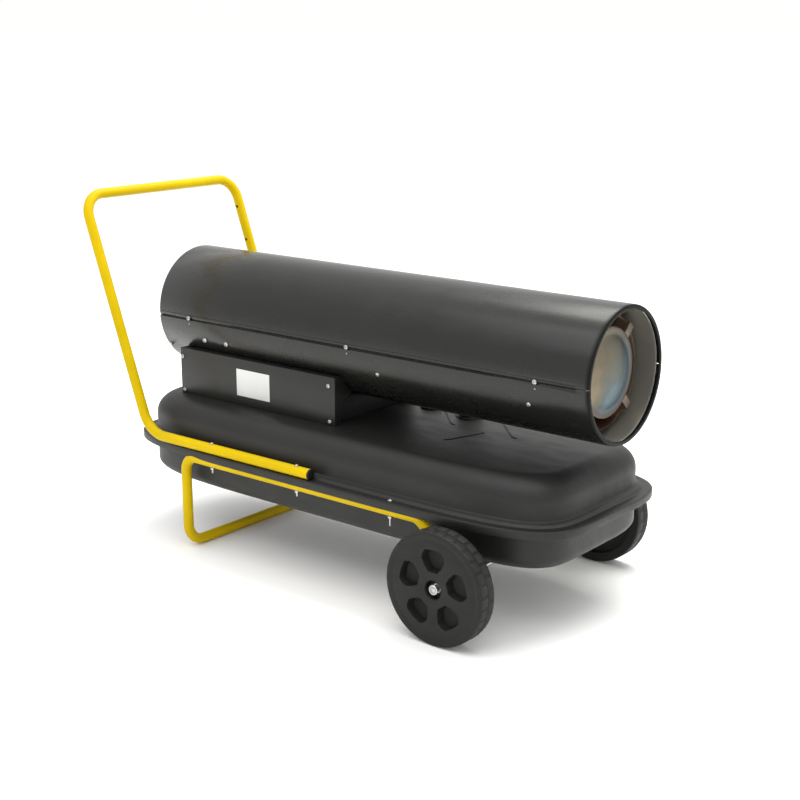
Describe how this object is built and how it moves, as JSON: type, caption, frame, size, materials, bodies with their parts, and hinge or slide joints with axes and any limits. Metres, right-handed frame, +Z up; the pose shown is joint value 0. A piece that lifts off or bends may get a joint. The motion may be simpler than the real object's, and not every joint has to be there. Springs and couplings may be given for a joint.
{
  "type": "diesel air heater",
  "caption": "Wheeled oil-fired air heater: round black shell with an open hot-air outlet over a flat fuel tank, with a bent tube handle and leg.",
  "frame": {"origin": "on the floor, under the middle of the box round the heater", "axes": "+X the way the hot air blows, +Y towards the control side, +Z up"},
  "size_m": [1.1266, 0.5394, 0.6837],
  "materials": {
    "black_paint": "satin",
    "yellow_paint": "gloss",
    "white_plate": "satin",
    "zinc": "satin",
    "stainless": "satin",
    "liner_steel": "satin",
    "heated_steel": "satin",
    "wheel_plastic": "matte",
    "black_plastic": "matte",
    "board_green": "satin",
    "red_plastic": "gloss",
    "aluminium": "satin",
    "brass": "satin",
    "copper": "satin",
    "ceramic": "satin"
  },
  "bodies": {
    "heater_body": {"tank_upper": "black_paint", "tank_lower": "black_paint", "filler_neck": "zinc", "fuel_strainer": "stainless", "fuel_gauge": "black_plastic", "fuel_pickup": "brass", "drain_plug": "zinc", "fuel_line": "copper", "air_line": "copper", "handle_tube": "yellow_paint", "handle_plug_right": "black_plastic", "handle_plug_left": "black_plastic", "leg_frame": "yellow_paint", "frame_bolt_rear_right": "zinc", "frame_bolt_rear_left": "zinc", "frame_bolt_middle_right": "zinc", "frame_bolt_middle_left": "zinc", "frame_bolt_front_right": "zinc", "frame_bolt_front_left": "zinc", "axle": "zinc", "axle_washer_right": "zinc", "axle_washer_left": "zinc", "cotter_pin_right": "zinc", "cotter_pin_left": "zinc", "shell_upper": "black_paint", "shell_lower": "black_paint", "outlet_liner": "liner_steel", "combustion_chamber": "heated_steel", "chamber_head": "heated_steel", "flame_disc": "heated_steel", "burner_head": "aluminium", "spray_nozzle": "brass", "igniter": "ceramic", "photocell": "black_plastic", "motor": "aluminium", "motor_bracket": "zinc", "air_pump": "aluminium", "pump_cover": "black_plastic", "pressure_gauge": "brass", "fan_guard": "black_paint", "base_housing": "black_paint", "side_cover_right": "black_paint", "side_cover_left": "black_paint", "rating_plate": "white_plate", "ignition_transformer": "black_plastic", "control_board": "board_green", "thermostat_body": "black_plastic", "power_switch": "black_plastic", "cord_gland": "black_plastic"},
    "wheel_right": {"wheel_right": "wheel_plastic"},
    "wheel_left": {"wheel_left": "wheel_plastic"},
    "rotor": {"fan": "aluminium", "motor_shaft": "zinc", "pump_rotor": "stainless"},
    "fuel_cap": {"fuel_cap": "black_plastic"},
    "thermostat_knob": {"thermostat_knob": "black_plastic"},
    "switch_rocker": {"switch_rocker": "red_plastic"},
    "gauge_float": {"gauge_float": "brass"},
    "gauge_pointer": {"gauge_pointer": "red_plastic"},
    "pressure_needle": {"pressure_needle": "red_plastic"}
  },
  "joints": [
    {"name": "wheel_right_spin", "type": "hinge", "parent": "heater_body", "child": "wheel_right", "pos_m": [0.37033, -0.2509, 0.1], "axis": [0, 1, 0], "continuous": true},
    {"name": "wheel_left_spin", "type": "hinge", "parent": "heater_body", "child": "wheel_left", "pos_m": [0.37033, 0.2509, 0.1], "axis": [0, 1, 0], "continuous": true},
    {"name": "rotor_spin", "type": "hinge", "parent": "heater_body", "child": "rotor", "pos_m": [-0.21567, 0, 0.442], "axis": [1, 0, 0], "continuous": true},
    {"name": "fuel_cap_turn", "type": "hinge", "parent": "heater_body", "child": "fuel_cap", "pos_m": [0.17033, 0.105, 0.31], "axis": [0, 0, 1], "range_deg": [0, 90]},
    {"name": "gauge_float_swing", "type": "hinge", "parent": "heater_body", "child": "gauge_float", "pos_m": [0.08033, 0.105, 0.2503], "axis": [0, 1, 0], "range_deg": [0, 90]},
    {"name": "gauge_pointer_turn", "type": "hinge", "parent": "heater_body", "child": "gauge_pointer", "pos_m": [0.08033, 0.105, 0.2926], "axis": [0, 0, 1], "range_deg": [0, 120]},
    {"name": "pressure_needle_turn", "type": "hinge", "parent": "heater_body", "child": "pressure_needle", "pos_m": [-0.42237, 0, 0.466], "axis": [1, 0, 0], "range_deg": [0, 120]},
    {"name": "thermostat_knob_turn", "type": "hinge", "parent": "heater_body", "child": "thermostat_knob", "pos_m": [-0.05967, 0.1183, 0.3303], "axis": [0, 1, 0], "range_deg": [0, 270]},
    {"name": "switch_rocker_tip", "type": "hinge", "parent": "heater_body", "child": "switch_rocker", "pos_m": [-0.12967, 0.1154, 0.3303], "axis": [0, 0, 1], "range_deg": [0, 20]}
  ],
  "couplings": [
    {"joint": "gauge_pointer_turn", "follows": "gauge_float_swing", "ratio": 1.3333}
  ]
}
